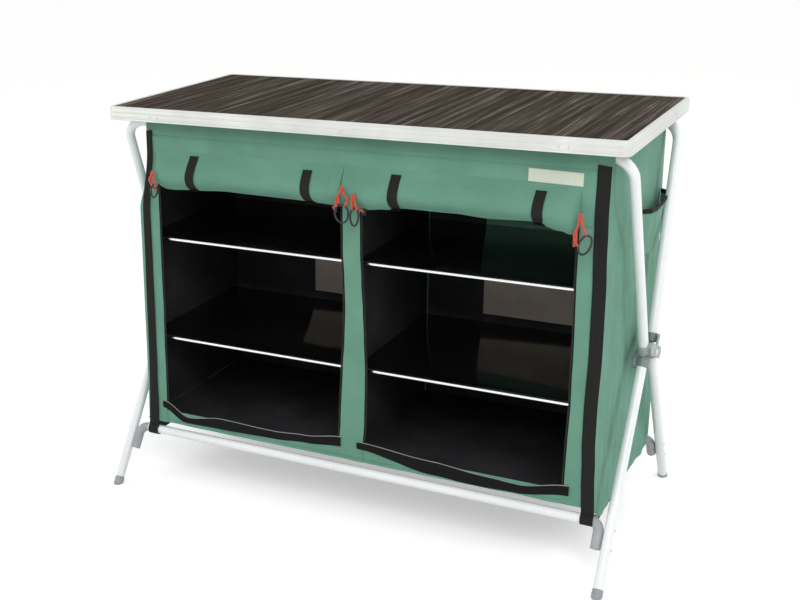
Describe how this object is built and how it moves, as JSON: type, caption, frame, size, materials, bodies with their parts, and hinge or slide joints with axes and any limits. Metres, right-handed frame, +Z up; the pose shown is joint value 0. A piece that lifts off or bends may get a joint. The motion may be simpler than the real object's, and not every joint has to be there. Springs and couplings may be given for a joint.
{
  "type": "camp kitchen cupboard",
  "caption": "Folding camp kitchen stand: a railed tabletop on a scissor tube frame with a hung fabric cupboard, shelves and roll-up doors.",
  "frame": {"origin": "on the floor, below the middle of the tabletop", "axes": "+X right as the user faces the doors, +Y back, +Z up"},
  "size_m": [1.0856, 0.5932, 0.83],
  "materials": {
    "green_fabric": "matt coated woven polyester",
    "black_fabric": "matt coated woven polyester",
    "black_webbing": "woven webbing, slight sheen",
    "zip_tape": "zip tape with coil teeth",
    "white_coated_steel": "satin white powder coat",
    "edge_rail": "matt silver-white anodised",
    "table_laminate": "dark streaked laminate, semi-gloss, on board",
    "light_grey_plastic": "moulded, matt",
    "dark_grey_plastic": "moulded, matt",
    "elbow_plastic": "moulded, matt",
    "pin_steel": "plain steel rivet",
    "shelf_board": "glossy black board with a bright edge trim",
    "shelf_trim": "bright edge trim",
    "pull_cord": "braided cord on a black pull",
    "label_patch": "pale woven patch, bare"
  },
  "bodies": {
    "cupboard": {"side_wall_left": "green_fabric", "side_wall_right": "green_fabric", "centre_wall": "black_fabric", "cupboard_floor": "black_fabric", "back_wall": "black_fabric", "header": "green_fabric", "front_panel": "green_fabric", "zip_track_left": "zip_tape", "zip_track_right": "zip_tape", "corner_webbing_front_left": "black_webbing", "corner_webbing_front_right": "black_webbing", "corner_webbing_rear_left": "black_webbing", "corner_webbing_rear_right": "black_webbing", "door_roll_left": "green_fabric", "door_roll_right": "green_fabric", "tie_strap_left_inner": "black_webbing", "tie_strap_left_outer": "black_webbing", "tie_strap_right_inner": "black_webbing", "tie_strap_right_outer": "black_webbing", "side_pocket": "green_fabric"},
    "hub_pins": {"hub_pin_left": "pin_steel", "hub_pin_right": "pin_steel"},
    "frame_a": {"front_upper_tube": "white_coated_steel", "rear_lower_leg_left": "white_coated_steel", "rear_lower_leg_right": "white_coated_steel", "rear_cross_tube": "white_coated_steel", "rear_elbow_left": "elbow_plastic", "rear_elbow_right": "elbow_plastic", "rear_foot_left": "elbow_plastic", "rear_foot_right": "elbow_plastic", "hub_outer_left": "light_grey_plastic", "hub_outer_right": "light_grey_plastic"},
    "frame_b": {"rear_upper_tube": "white_coated_steel", "front_lower_leg_left": "white_coated_steel", "front_lower_leg_right": "white_coated_steel", "front_cross_tube": "white_coated_steel", "front_elbow_left": "elbow_plastic", "front_elbow_right": "elbow_plastic", "front_foot_left": "elbow_plastic", "front_foot_right": "elbow_plastic", "hub_inner_left": "dark_grey_plastic", "hub_inner_right": "dark_grey_plastic"},
    "tabletop": {"table_board": "table_laminate", "front_rail": "edge_rail", "rear_rail": "edge_rail", "left_rail": "edge_rail", "right_rail": "edge_rail", "top_clip_front_left": "dark_grey_plastic", "top_clip_front_right": "dark_grey_plastic", "top_clip_rear_left": "dark_grey_plastic", "top_clip_rear_right": "dark_grey_plastic"},
    "shelf_lower_left": {"shelf_lower_left": "shelf_board"},
    "shelf_lower_right": {"shelf_lower_right": "shelf_board"},
    "shelf_upper_left": {"shelf_upper_left": "shelf_board"},
    "shelf_upper_right": {"shelf_upper_right": "shelf_board"},
    "zip_slider_left_inner": {"zip_slider_left_inner": "pull_cord"},
    "zip_slider_left_outer": {"zip_slider_left_outer": "pull_cord"},
    "zip_slider_right_inner": {"zip_slider_right_inner": "pull_cord"},
    "zip_slider_right_outer": {"zip_slider_right_outer": "pull_cord"}
  },
  "joints": [
    {"name": "stand_drop", "type": "slide", "parent": "cupboard", "child": "hub_pins", "axis": [0, 0, -1], "range_m": [0, 0.0452]},
    {"name": "frame_fold", "type": "hinge", "parent": "hub_pins", "child": "frame_a", "pos_m": [0, 0, 0.3834], "axis": [-1, 0, 0], "range_deg": [0, 22.5], "deforming": ["side_wall_left", "side_wall_right", "centre_wall", "back_wall", "header", "corner_webbing_front_left", "corner_webbing_front_right", "corner_webbing_rear_left", "corner_webbing_rear_right"]},
    {"name": "frame_fold_other", "type": "hinge", "parent": "hub_pins", "child": "frame_b", "pos_m": [0, 0, 0.3834], "axis": [1, 0, 0], "range_deg": [0, 22.6]},
    {"name": "tabletop_lift", "type": "slide", "parent": "cupboard", "child": "tabletop", "axis": [0, 0, 1], "range_m": [0, 0.15]},
    {"name": "shelf_lower_left_lift", "type": "slide", "parent": "cupboard", "child": "shelf_lower_left", "axis": [0, 0, 1], "range_m": [0, 0.05]},
    {"name": "shelf_lower_right_lift", "type": "slide", "parent": "cupboard", "child": "shelf_lower_right", "axis": [0, 0, 1], "range_m": [0, 0.05]},
    {"name": "shelf_upper_left_lift", "type": "slide", "parent": "cupboard", "child": "shelf_upper_left", "axis": [0, 0, 1], "range_m": [0, 0.05]},
    {"name": "shelf_upper_right_lift", "type": "slide", "parent": "cupboard", "child": "shelf_upper_right", "axis": [0, 0, 1], "range_m": [0, 0.05]},
    {"name": "zip_slider_left_inner_run", "type": "slide", "parent": "cupboard", "child": "zip_slider_left_inner", "axis": [0, 0, -1], "range_m": [0, 0.46]},
    {"name": "zip_slider_left_outer_run", "type": "slide", "parent": "cupboard", "child": "zip_slider_left_outer", "axis": [0, 0, -1], "range_m": [0, 0.46]},
    {"name": "zip_slider_right_inner_run", "type": "slide", "parent": "cupboard", "child": "zip_slider_right_inner", "axis": [0, 0, -1], "range_m": [0, 0.46]},
    {"name": "zip_slider_right_outer_run", "type": "slide", "parent": "cupboard", "child": "zip_slider_right_outer", "axis": [0, 0, -1], "range_m": [0, 0.46]}
  ],
  "couplings": [
    {"joint": "stand_drop", "follows": "frame_fold", "m_per_rad": 0.114},
    {"joint": "frame_fold_other", "follows": "frame_fold", "ratio": 1}
  ]
}
